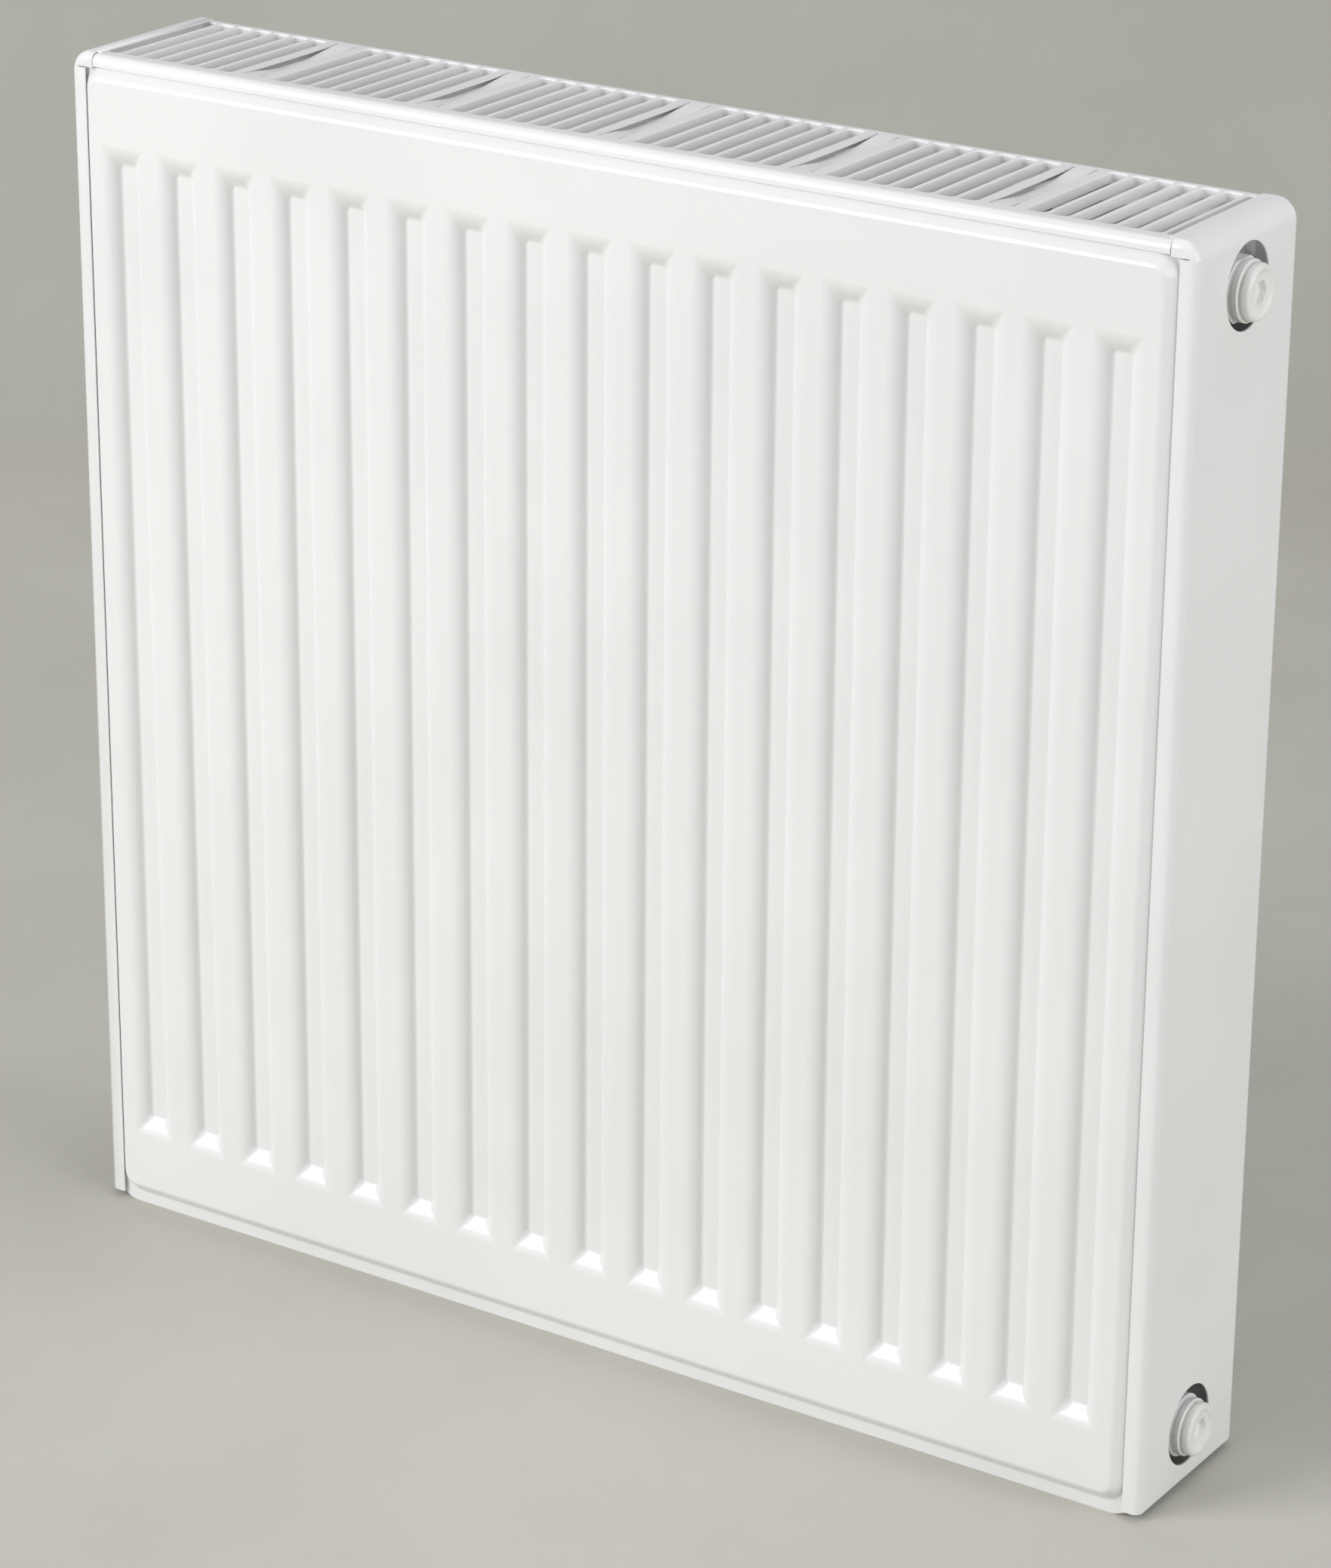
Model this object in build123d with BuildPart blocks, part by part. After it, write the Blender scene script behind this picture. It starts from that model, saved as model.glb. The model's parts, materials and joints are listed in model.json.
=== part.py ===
from build123d import *
from math import sqrt
import os

os.makedirs("parts", exist_ok=True)

# A compact steel panel radiator, type 22: two water panels, two convectors, a top grille,
# two side panels and a plug in each of its four tappings. Millimetres.
# +X runs along the radiator to its right end, -Y is the room side, +Z is up.
# The origin is the bottom centre of the bounding box, and the wall lugs stand out behind.

# Driving dimensions
length = 600.0
height = 600.0
depth = 100.0
modules = 18
gauge = 1.2
lug_reach = 14.0

y_mid = -lug_reach / 2
pitch = length / modules

# Water panels: a pressed face on a flat seam-welded rim
cover_gauge = 0.8
cover_half_depth = 46.0
cover_edge_r = 4.0
face_rise = 6.2
face_y = depth / 2
rim_y = face_y - face_rise
weld_y = rim_y - gauge
crest_y = weld_y - gauge - face_rise
panel_half_length = length / 2 - cover_edge_r
panel_top = height - cover_edge_r - 1.1
panel_corner_r = 9.0
side_rim = 9.0
bottom_rim = 6.5
top_rim_z = 593.0
slope_run = 6.0
field_corner_r = 8.0

# Valleys between the water channels
valley_mouth = 18.0
valley_floor = 10.0
valley_depth = 5.0
valley_bottom_z = 45.0
valley_top_z = 554.5
valley_end_run = 6.5

# Convectors
fin_gauge = 0.4
fin_base = 16.0
fin_tip_y = 2.5
fin_bottom_z = 58.0
fin_top_z = 540.0

# Tees and tappings
tapping_low_z = 29.5
tapping_high_z = 569.5
tee_x = 266.0
tee_r = 16.0
tee_bore_r = 12.5
boss_r = 15.0
boss_flat = 13.5
boss_face_x = 297.5
tapping_r = 10.4
tapping_depth = 15.0
port_r = 8.0

# Side panels
side_bottom_z = 3.7
side_flange = 8.6
top_flange = 16.0
ear_flange = 13.0
ear_bottom_z = 592.6
seam_gap = 0.5
side_top_r = 10.0
side_hole_r = 19.5
side_hole_low_z = 30.5
side_hole_high_z = 571.5
toe_chamfer = 4.0

# Top grille
grille_top_z = height - cover_gauge - 0.1
grille_half_length = length / 2 - ear_flange - 0.5
grille_flange_z = 593.4
tongue_x = 290.0
tongue_half_depth = 38.0
slots_per_100 = 9
open_slots = 7
slot_groups = 6
slot_pitch = 100.0 / slots_per_100
slot_width = 9.3
slot_corner_r = 2.0
slot_front_y = -36.0
slot_rear_y = 39.0
slit_width = 1.2
collar_drop = 4.0
strip_drop = 2.5
strip_slope = 30.0

# Plugs
seal_thickness = 1.5
seal_r = 13.0
plug_thread_r = tapping_r - 0.1
plug_thread = 10.0
plug_ring_r = 13.8
plug_disc_r = 12.7
plug_neck_r = 11.6
plug_end_x = 307.0


def facing_front(y):
    """A plane facing the room, y in front of (-) or behind (+) the radiator's middle."""
    return Plane(origin=(0, y_mid + y, 0), x_dir=(1, 0, 0), z_dir=(0, -1, 0))


def level(z):
    """A plane facing up at height z, measured in depth from the radiator's middle."""
    return Plane(origin=(0, y_mid, z))


def across(x, z=0.0):
    """A plane across the radiator at x, measured in depth from its middle."""
    return Plane(origin=(x, y_mid, z), x_dir=(0, 1, 0), z_dir=(1, 0, 0))


def facing_out(side, x, z):
    """A plane facing along the radiator's axis, away from its middle, on a tapping's axis."""
    return Plane(origin=(side * x, y_mid, z), x_dir=(0, side, 0), z_dir=(side, 0, 0))


middle_plane = facing_front(0)


def hand_in(part, node):
    part.label = node
    export_step(part, f"parts/{node}.step")


# ---- Water panels ----

field_bottom_z = bottom_rim
field_half_length = length / 2 - side_rim
field_mid_z = (field_bottom_z + top_rim_z) / 2
field_height = top_rim_z - field_bottom_z
valley_mid_z = (valley_bottom_z + valley_top_z) / 2
valley_height = valley_top_z - valley_bottom_z

with BuildPart() as pressing:
    with BuildSketch(facing_front(-weld_y)):
        with Locations((0, panel_top / 2)):
            RectangleRounded(2 * panel_half_length, panel_top, panel_corner_r)
    extrude(amount=gauge)
    with BuildSketch(facing_front(-rim_y)):
        with Locations((0, field_mid_z)):
            RectangleRounded(2 * field_half_length, field_height, field_corner_r + slope_run)
    with BuildSketch(facing_front(-face_y)):
        with Locations((0, field_mid_z)):
            RectangleRounded(
                2 * (field_half_length - slope_run), field_height - 2 * slope_run, field_corner_r
            )
    loft()
    for valley in range(1, modules):
        valley_x = -length / 2 + valley * pitch
        with BuildSketch(facing_front(-face_y)):
            with Locations((valley_x, valley_mid_z)):
                Rectangle(valley_mouth, valley_height)
        with BuildSketch(facing_front(-face_y + valley_depth)):
            with Locations((valley_x, valley_mid_z)):
                Rectangle(valley_floor, valley_height - 2 * valley_end_run)
        loft(mode=Mode.SUBTRACT)

with BuildPart() as front_panel_outer:
    add(pressing.part)
    add(pressing.part.moved(Location((0, gauge, 0))), mode=Mode.SUBTRACT)
hand_in(front_panel_outer.part, "front_panel_outer")

tapping_points = [(side * tee_x, z) for side in (-1, 1) for z in (tapping_low_z, tapping_high_z)]

with BuildPart() as front_panel_inner:
    mirror(front_panel_outer.part, about=facing_front(-weld_y))
    with BuildSketch(facing_front(-crest_y + gauge)):
        with Locations(*tapping_points):
            Circle(port_r)
    extrude(amount=-2 * gauge - face_rise, mode=Mode.SUBTRACT)
hand_in(front_panel_inner.part, "front_panel_inner")

with BuildPart() as back_panel_outer:
    mirror(front_panel_outer.part, about=middle_plane)
hand_in(back_panel_outer.part, "back_panel_outer")

with BuildPart() as back_panel_inner:
    mirror(front_panel_inner.part, about=middle_plane)
hand_in(back_panel_inner.part, "back_panel_inner")


# ---- Convectors: one folded strip welded to the crests of each inner sheet ----

def fold_points(inset):
    """The fold line of the convector seen from above, moved to one side of the sheet."""
    points = []
    for module in range(modules):
        centre = (module + 0.5) * pitch - length / 2
        half = fin_base / 2 - inset
        base = -crest_y + inset
        tip = -fin_tip_y - fin_gauge + inset
        points += [(centre - half, tip), (centre - half, base), (centre + half, base), (centre + half, tip)]
    return points[1:-1]


with BuildPart() as front_convector:
    with BuildSketch(level(fin_bottom_z)):
        with BuildLine():
            Polyline(*(fold_points(0.0) + fold_points(fin_gauge)[::-1]), close=True)
        make_face()
    extrude(amount=fin_top_z - fin_bottom_z)
hand_in(front_convector.part, "front_convector")

with BuildPart() as back_convector:
    mirror(front_convector.part, about=middle_plane)
hand_in(back_convector.part, "back_convector")


# ---- Tees: a cross tube between the two water panels, with a threaded boss outwards ----

def tee(side, z, flats):
    with BuildPart() as piece:
        with BuildSketch(middle_plane):
            with Locations((side * tee_x, z)):
                Circle(tee_r)
        extrude(amount=crest_y, both=True)
        with BuildSketch(facing_out(side, tee_x, z)):
            Circle(boss_r)
            if flats:
                Rectangle(2 * boss_r, 2 * boss_flat, mode=Mode.INTERSECT)
        extrude(amount=boss_face_x - tee_x)
        with BuildSketch(middle_plane):
            with Locations((side * tee_x, z)):
                Circle(tee_bore_r)
        extrude(amount=crest_y, both=True, mode=Mode.SUBTRACT)
        with BuildSketch(facing_out(side, boss_face_x, z)):
            Circle(tapping_r)
        extrude(amount=-tapping_depth, mode=Mode.SUBTRACT)
        with BuildSketch(facing_out(side, tee_x, z)):
            Circle(port_r)
        extrude(amount=boss_face_x - tee_x, mode=Mode.SUBTRACT)
    return piece.part


for side, end in ((1, "right"), (-1, "left")):
    hand_in(tee(side, tapping_high_z, flats=True), f"tee_top_{end}")
    hand_in(tee(side, tapping_low_z, flats=False), f"tee_bottom_{end}")


# ---- Wall lugs: four angles welded across a valley of the back panel ----

lug_x = 6 * pitch
lug_width = 44.0
lug_gauge = 2.5
lug_leg = 34.0
lug_low_z = 90.0
lug_high_z = 500.0
lug_slot_length = 20.0
lug_slot_width = 9.0
lug_slot_y = face_y + 8.0
lug_points = [(side * lug_x, z) for side in (-1, 1) for z in (lug_low_z, lug_high_z)]

with BuildPart() as hanger_lugs:
    for lug_at_x, lug_at_z in lug_points:
        with BuildSketch(across(lug_at_x, lug_at_z)):
            with BuildLine():
                Polyline(
                    (face_y, 0),
                    (face_y + lug_reach, 0),
                    (face_y + lug_reach, lug_gauge),
                    (face_y + lug_gauge, lug_gauge),
                    (face_y + lug_gauge, lug_leg),
                    (face_y, lug_leg),
                    close=True,
                )
            make_face()
        extrude(amount=lug_width / 2, both=True)
    with BuildSketch(level(lug_low_z)):
        with Locations(*[(side * lug_x, lug_slot_y) for side in (-1, 1)]):
            SlotOverall(lug_slot_length, lug_slot_width)
    extrude(amount=lug_high_z - lug_low_z + lug_gauge, mode=Mode.SUBTRACT)
hand_in(hanger_lugs.part, "hanger_lugs")


# ---- Top grille ----

def slot_x(position):
    """Centre of one grille position, counted from the left end."""
    positions = slots_per_100 * (slot_groups - 1) + open_slots
    return (position - (positions - 1) / 2) * slot_pitch


open_positions = [9 * group + slot for group in range(slot_groups) for slot in range(open_slots)]
web_starts = [9 * group + open_slots for group in range(slot_groups - 1)]
slot_length = slot_rear_y - slot_front_y
slot_mid_y = (slot_rear_y + slot_front_y) / 2
strip_width = slot_pitch - slit_width


def grille_channel(shrink):
    """The grille's folded channel as a solid, drawn in by shrink on its closed sides."""
    top = grille_top_z - shrink
    with BuildPart() as channel:
        with BuildSketch(across(0)):
            with Locations((0, (top + grille_flange_z) / 2)):
                Rectangle(2 * (cover_half_depth - shrink), top - grille_flange_z)
        extrude(amount=grille_half_length, both=True)
        fillet(channel.faces().sort_by(Axis.Z)[-1].edges().filter_by(Axis.X), cover_edge_r - shrink)
    return channel.part


with BuildPart() as top_grille:
    add(grille_channel(0.0))
    add(grille_channel(cover_gauge), mode=Mode.SUBTRACT)
    with BuildSketch(level(grille_top_z)):
        Rectangle(2 * tongue_x, 2 * tongue_half_depth)
    extrude(amount=-cover_gauge)
    with BuildSketch(level(grille_top_z)):
        with Locations(*[(slot_x(position), slot_mid_y) for position in open_positions]):
            RectangleRounded(slot_width, slot_length, slot_corner_r)
        for start in web_starts:
            with Locations(((slot_x(start) + slot_x(start + 1)) / 2, slot_mid_y)):
                Rectangle(slot_pitch + slit_width, slot_length)
    extrude(amount=-cover_gauge, mode=Mode.SUBTRACT)
    # Each slot is drawn down into a collar all round
    with BuildSketch(level(grille_top_z - cover_gauge)):
        with Locations(*[(slot_x(position), slot_mid_y) for position in open_positions]):
            RectangleRounded(
                slot_width + 2 * cover_gauge, slot_length + 2 * cover_gauge, slot_corner_r + cover_gauge
            )
            RectangleRounded(slot_width, slot_length, slot_corner_r, mode=Mode.SUBTRACT)
    extrude(amount=-collar_drop)
    for start in web_starts:
        with BuildSketch(across((slot_x(start) + slot_x(start + 1)) / 2, grille_top_z)):
            with BuildLine():
                Polyline(
                    (slot_front_y, 0),
                    (slot_front_y + strip_slope, -strip_drop),
                    (slot_rear_y - strip_slope, -strip_drop),
                    (slot_rear_y, 0),
                    (slot_rear_y, -cover_gauge),
                    (slot_rear_y - strip_slope, -strip_drop - cover_gauge),
                    (slot_front_y + strip_slope, -strip_drop - cover_gauge),
                    (slot_front_y, -cover_gauge),
                    close=True,
                )
            make_face()
        extrude(amount=strip_width / 2, both=True)
hand_in(top_grille.part, "top_grille")

# Spring clips that hold the grille down between the two convectors
clip_x = 200.0
clip_gauge = 0.6
clip_width = 8.0
clip_top_z = grille_top_z - cover_gauge - strip_drop
clip_foot_z = fin_top_z - 15.0
clip_half_top = 9.0
clip_half_leg = fin_tip_y - 0.3

with BuildPart() as grille_clips:
    for hand in (-1, 1):
        with BuildSketch(across(hand * clip_x)):
            with Locations((0, clip_top_z - clip_gauge / 2)):
                Rectangle(2 * clip_half_top, clip_gauge)
            for leg in (-1, 1):
                with Locations((leg * (clip_half_leg - clip_gauge / 2), (clip_top_z + clip_foot_z) / 2)):
                    Rectangle(clip_gauge, clip_top_z - clip_foot_z)
        extrude(amount=clip_width / 2, both=True)
hand_in(grille_clips.part, "grille_clips")


# ---- Side panels ----

def cover_block(shrink):
    """The outside of the right side panel as a solid, drawn in by shrink on its closed sides."""
    with BuildPart() as block:
        with BuildSketch(level(side_bottom_z)):
            with Locations((length / 2 - shrink - top_flange / 2, 0)):
                Rectangle(top_flange, 2 * (cover_half_depth - shrink))
        extrude(amount=height - shrink - side_bottom_z)
        outer_top_edge = block.edges().filter_by(Axis.Y).group_by(Axis.Z)[-1].sort_by(Axis.X)[-1]
        fillet(outer_top_edge, side_top_r - shrink)
        outer_face = block.faces().sort_by(Axis.X)[-1]
        top_face = block.faces().sort_by(Axis.Z)[-1]
        shoulder = outer_face.edges().filter_by(Axis.Z) + top_face.edges().filter_by(Axis.X)
        fillet(shoulder + block.edges().filter_by(GeomType.CIRCLE), cover_edge_r - shrink)
    return block.part


with BuildPart() as right_side_panel:
    add(cover_block(0.0))
    add(cover_block(cover_gauge), mode=Mode.SUBTRACT)
    # The front and back flanges are narrow down the sides and wider at the drawn top corners
    with BuildSketch(level(side_bottom_z)):
        with Locations((length / 2 - side_flange - top_flange / 2, 0)):
            Rectangle(top_flange, depth)
    extrude(amount=ear_bottom_z - side_bottom_z, mode=Mode.SUBTRACT)
    with BuildSketch(level(ear_bottom_z)):
        with Locations((length / 2 - ear_flange - top_flange / 2, 0)):
            Rectangle(top_flange, depth)
            Rectangle(top_flange, 2 * (cover_half_depth - cover_edge_r), mode=Mode.SUBTRACT)
    extrude(amount=height - ear_bottom_z, mode=Mode.SUBTRACT)
    # A fine seam under each corner, the two tapping holes, and the clipped toe at the back
    with BuildSketch(level(ear_bottom_z)):
        with Locations((length / 2 - cover_edge_r - side_flange / 2, 0)):
            Rectangle(side_flange, depth)
    extrude(amount=-seam_gap, mode=Mode.SUBTRACT)
    with BuildSketch(facing_out(1, length / 2, 0)):
        with Locations((0, side_hole_low_z), (0, side_hole_high_z)):
            Circle(side_hole_r)
        with Locations((cover_half_depth, side_bottom_z)):
            Rectangle(toe_chamfer * sqrt(2), toe_chamfer * sqrt(2), rotation=45)
    extrude(amount=-top_flange, mode=Mode.SUBTRACT)
hand_in(right_side_panel.part, "right_side_panel")

with BuildPart() as left_side_panel:
    mirror(right_side_panel.part, about=Plane.YZ)
hand_in(left_side_panel.part, "left_side_panel")

# Plastic spring blocks inside each side panel that grip the panel rims
block_length = 20.0
block_outer_y = weld_y - gauge - 0.7
block_inner_y = 35.0
block_face_x = length / 2 - cover_gauge
block_nose_x = block_face_x - 7.7

with BuildPart() as right_panel_clips:
    for block_z in (120.0, 480.0):
        with BuildSketch(level(block_z)):
            with BuildLine():
                Polyline(
                    (block_face_x, block_outer_y),
                    (block_face_x, block_inner_y),
                    (block_face_x - 1.7, block_inner_y),
                    (block_nose_x, block_outer_y - 1.5),
                    (block_nose_x, block_outer_y),
                    close=True,
                )
            make_face()
            mirror(about=Plane.XZ)
        extrude(amount=block_length / 2, both=True)
hand_in(right_panel_clips.part, "right_panel_clips")

with BuildPart() as left_panel_clips:
    mirror(right_panel_clips.part, about=Plane.YZ)
hand_in(left_panel_clips.part, "left_panel_clips")


# ---- Plugs: moulded transport plugs on the right, a vent and a blanking plug on the left ----

shoulder_x = boss_face_x + seal_thickness


def washer(side, z):
    """A flat seal between a boss and its plug."""
    with BuildPart() as piece:
        with BuildSketch(facing_out(side, boss_face_x, z)):
            Circle(seal_r)
            Circle(tapping_r, mode=Mode.SUBTRACT)
        extrude(amount=seal_thickness)
    return piece.part


ring_width = 3.0
neck_width = 1.0
disc_rounding = 1.6
dish_r = 9.5
dish_depth = 0.8
socket_flats = 10.0
socket_depth = 4.0
hollow_r = 8.2
hollow_depth = 9.5


def transport_plug(z):
    """A moulded plug: hollow threaded shank, ring, groove and a dished disc with a hex socket."""
    with BuildPart() as piece:
        with BuildSketch(facing_out(1, shoulder_x, z)):
            Circle(plug_thread_r)
        extrude(amount=-plug_thread - seal_thickness)
        with BuildSketch(facing_out(1, shoulder_x, z)):
            Circle(plug_ring_r)
        extrude(amount=ring_width)
        with BuildSketch(facing_out(1, shoulder_x + ring_width, z)):
            Circle(plug_neck_r)
        extrude(amount=neck_width)
        with BuildSketch(facing_out(1, shoulder_x + ring_width + neck_width, z)):
            Circle(plug_disc_r)
        extrude(amount=plug_end_x - shoulder_x - ring_width - neck_width)
        fillet(piece.edges().group_by(Axis.X)[-1], disc_rounding)
        with BuildSketch(facing_out(1, plug_end_x, z)):
            Circle(dish_r)
        extrude(amount=-dish_depth, mode=Mode.SUBTRACT)
        with BuildSketch(facing_out(1, plug_end_x, z)):
            RegularPolygon(socket_flats / 2, 6, major_radius=False)
        extrude(amount=-socket_depth, mode=Mode.SUBTRACT)
        with BuildSketch(facing_out(1, shoulder_x - seal_thickness - plug_thread, z)):
            Circle(hollow_r)
        extrude(amount=hollow_depth, mode=Mode.SUBTRACT)
    return piece.part


for plug_z, place in ((tapping_high_z, "top"), (tapping_low_z, "bottom")):
    hand_in(transport_plug(plug_z), f"{place}_right_plug")
    hand_in(washer(1, plug_z), f"{place}_right_plug_seal")

# Blanking plug, bottom left
hex_flats = 22.0
blank_ring_width = 3.0

with BuildPart() as blanking_plug:
    with BuildSketch(facing_out(-1, shoulder_x, tapping_low_z)):
        Circle(plug_thread_r)
    extrude(amount=-plug_thread - seal_thickness)
    with BuildSketch(facing_out(-1, shoulder_x, tapping_low_z)):
        Circle(plug_ring_r)
    extrude(amount=blank_ring_width)
    with BuildSketch(facing_out(-1, shoulder_x + blank_ring_width, tapping_low_z)):
        RegularPolygon(hex_flats / 2, 6, major_radius=False)
    extrude(amount=plug_end_x - shoulder_x - blank_ring_width)
hand_in(blanking_plug.part, "blanking_plug")
hand_in(washer(-1, tapping_low_z), "blanking_plug_seal")

# Vent plug, top left: a hex body with a bleed screw in it and a spout that turns round its nose
vent_flange_width = 2.6
nose_r = 5.5
nose_end_x = 304.6
bleed_bore_r = 2.6
bleed_seat_x = 292.2
bleed_seat_r = 1.2
bleed_port_r = 0.8
bleed_port_x = 303.0
running_gap = 0.08

with BuildPart() as vent_plug:
    with BuildSketch(facing_out(-1, shoulder_x, tapping_high_z)):
        Circle(plug_thread_r)
    extrude(amount=-plug_thread - seal_thickness)
    with BuildSketch(facing_out(-1, shoulder_x, tapping_high_z)):
        RegularPolygon(hex_flats / 2, 6, major_radius=False)
    extrude(amount=vent_flange_width)
    with BuildSketch(facing_out(-1, shoulder_x, tapping_high_z)):
        Circle(nose_r)
    extrude(amount=nose_end_x - shoulder_x)
    with BuildSketch(facing_out(-1, nose_end_x, tapping_high_z)):
        Circle(bleed_bore_r)
    extrude(amount=bleed_seat_x - nose_end_x, mode=Mode.SUBTRACT)
    with BuildSketch(facing_out(-1, nose_end_x, tapping_high_z)):
        Circle(bleed_seat_r)
    extrude(amount=-nose_end_x + tee_x, mode=Mode.SUBTRACT)
    with BuildSketch(level(tapping_high_z)):
        with Locations((-bleed_port_x, 0)):
            Circle(bleed_port_r)
    extrude(amount=-nose_r - 1, mode=Mode.SUBTRACT)
hand_in(vent_plug.part, "vent_plug")
hand_in(washer(-1, tapping_high_z), "vent_plug_seal")

spout_start_x = shoulder_x + vent_flange_width + 0.2
spout_width = 2.6
spout_r = 8.5
spout_reach = 13.0
spout_tube_r = 1.3
spout_hole_r = 0.7

with BuildPart() as vent_spout:
    with BuildSketch(facing_out(-1, spout_start_x, tapping_high_z)):
        Circle(spout_r)
    extrude(amount=spout_width)
    with BuildSketch(level(tapping_high_z)):
        with Locations((-spout_start_x - spout_width / 2, 0)):
            Circle(spout_tube_r)
    extrude(amount=-spout_reach)
    with BuildSketch(facing_out(-1, spout_start_x, tapping_high_z)):
        Circle(nose_r + running_gap)
    extrude(amount=spout_width, mode=Mode.SUBTRACT)
    with BuildSketch(level(tapping_high_z)):
        with Locations((-spout_start_x - spout_width / 2, 0)):
            Circle(spout_hole_r)
    extrude(amount=-spout_reach, mode=Mode.SUBTRACT)
hand_in(vent_spout.part, "vent_spout")

stem_r = bleed_bore_r - running_gap
groove_r = 1.7
groove_x = 298.0
groove_width = 1.6
ring_half_width = 0.7
key_flats = 4.4
head_start_x = nose_end_x + 0.2
cone_end_r = 0.9
cone_length = 1.5

with BuildPart() as vent_screw:
    with BuildSketch(facing_out(-1, bleed_seat_x + cone_length, tapping_high_z)):
        Circle(stem_r)
    extrude(amount=head_start_x - bleed_seat_x - cone_length)
    with BuildSketch(facing_out(-1, bleed_seat_x + 0.1, tapping_high_z)):
        Circle(cone_end_r)
    with BuildSketch(facing_out(-1, bleed_seat_x + cone_length, tapping_high_z)):
        Circle(stem_r)
    loft()
    with BuildSketch(facing_out(-1, head_start_x, tapping_high_z)):
        Rectangle(key_flats, key_flats)
    extrude(amount=plug_end_x - head_start_x)
    with BuildSketch(facing_out(-1, groove_x - groove_width / 2, tapping_high_z)):
        Circle(bleed_bore_r)
        Circle(groove_r, mode=Mode.SUBTRACT)
    extrude(amount=groove_width, mode=Mode.SUBTRACT)
hand_in(vent_screw.part, "vent_screw")

with BuildPart() as vent_screw_ring:
    with BuildSketch(facing_out(-1, groove_x - ring_half_width, tapping_high_z)):
        Circle(stem_r)
        Circle(groove_r + running_gap, mode=Mode.SUBTRACT)
    extrude(amount=2 * ring_half_width)
hand_in(vent_screw_ring.part, "vent_screw_ring")
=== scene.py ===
import json
from math import cos, pi, radians, sin

import bmesh
import bpy
from mathutils import Matrix, Vector


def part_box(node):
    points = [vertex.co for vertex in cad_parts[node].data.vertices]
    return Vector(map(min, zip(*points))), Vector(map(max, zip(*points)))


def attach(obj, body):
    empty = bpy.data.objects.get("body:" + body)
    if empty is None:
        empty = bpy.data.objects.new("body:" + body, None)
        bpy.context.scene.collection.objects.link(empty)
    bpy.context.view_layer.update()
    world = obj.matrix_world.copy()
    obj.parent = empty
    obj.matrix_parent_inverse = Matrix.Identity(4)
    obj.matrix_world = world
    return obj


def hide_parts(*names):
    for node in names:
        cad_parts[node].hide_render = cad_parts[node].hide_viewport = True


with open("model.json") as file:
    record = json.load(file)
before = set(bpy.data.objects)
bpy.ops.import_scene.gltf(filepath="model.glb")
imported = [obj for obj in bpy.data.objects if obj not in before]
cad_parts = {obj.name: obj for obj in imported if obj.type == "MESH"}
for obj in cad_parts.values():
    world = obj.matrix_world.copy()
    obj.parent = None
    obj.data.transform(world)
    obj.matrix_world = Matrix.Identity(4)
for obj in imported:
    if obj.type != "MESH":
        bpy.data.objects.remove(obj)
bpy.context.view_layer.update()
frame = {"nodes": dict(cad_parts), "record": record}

bl_info = {
    "name": "Panel radiator",
    "version": (1, 0, 0),
    "blender": (4, 5, 0),
    "location": "View3D > Sidebar > Radiator",
    "description": "Pressed, folded and moulded pieces of a compact panel radiator, with their finishes",
    "category": "Object",
}

# Metres.
MM = 0.001
# Picks by place: within FINE two levels are the same, within COARSE two faces are
FINE = 0.1 * MM
COARSE = 5 * MM
# Pressings across the radiator's length: one channel and its valley to a module
MODULES = 18
# Height that the lamps are aimed at
MIDDLE_Z = 0.3
# Sides of everything turned or punched round
ROUND = 64
panel_low, panel_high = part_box("front_panel_outer")
side_low, side_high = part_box("right_side_panel")
grille_low, grille_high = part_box("top_grille")
plug_low, plug_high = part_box("top_right_plug")
mid_y = (side_low.y + side_high.y) / 2
half_depth = (side_high.y - side_low.y) / 2
end_x = side_high.x
face_y = panel_low.y
top_z = side_high.z


# ---- Editing helpers ----

def start_piece(name):
    """A new empty mesh object at the origin, open in edit mode with nothing selected."""
    if bpy.context.mode != "OBJECT":
        bpy.ops.object.mode_set(mode="OBJECT")
    bpy.ops.object.select_all(action="DESELECT")
    bpy.ops.mesh.primitive_plane_add(size=1)
    piece = bpy.context.object
    piece.name = name
    piece.data.name = name
    bpy.ops.object.mode_set(mode="EDIT")
    bpy.ops.mesh.delete(type="VERT")
    return piece


def pick(kind, test):
    """Select in edit mode only the vertices, edges or faces whose middle (and normal) pass the test."""
    bpy.ops.mesh.select_mode(type=kind)
    bpy.ops.mesh.select_all(action="DESELECT")
    mesh = bmesh.from_edit_mesh(bpy.context.object.data)
    mesh.normal_update()
    if kind == "VERT":
        chosen = [v for v in mesh.verts if test(v.co)]
    elif kind == "EDGE":
        chosen = [e for e in mesh.edges if test(e.verts[0].co, e.verts[1].co)]
    else:
        chosen = [f for f in mesh.faces if test(f.calc_center_median(), f.normal)]
    for item in chosen:
        item.select_set(True)
    bmesh.update_edit_mesh(bpy.context.object.data)
    return len(chosen)


def need(count, what):
    """Stop the operator when a selection by place found nothing."""
    if not count:
        raise RuntimeError(f"no {what} found")


def cut(point, normal, **clear):
    """Bisect what is selected with a plane."""
    bpy.ops.mesh.bisect(plane_co=point, plane_no=normal, **clear)


def stretch(value, centre):
    bpy.ops.transform.resize(value=value, center_override=centre)


def shift(value):
    bpy.ops.transform.translate(value=value)


def modify(piece, kind, **settings):
    """Add a modifier with these settings and apply it."""
    modifier = piece.modifiers.new(kind.title(), kind)
    for key, value in settings.items():
        setattr(modifier, key, value)
    bpy.context.view_layer.objects.active = piece
    bpy.ops.object.modifier_apply(modifier=modifier.name)


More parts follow.
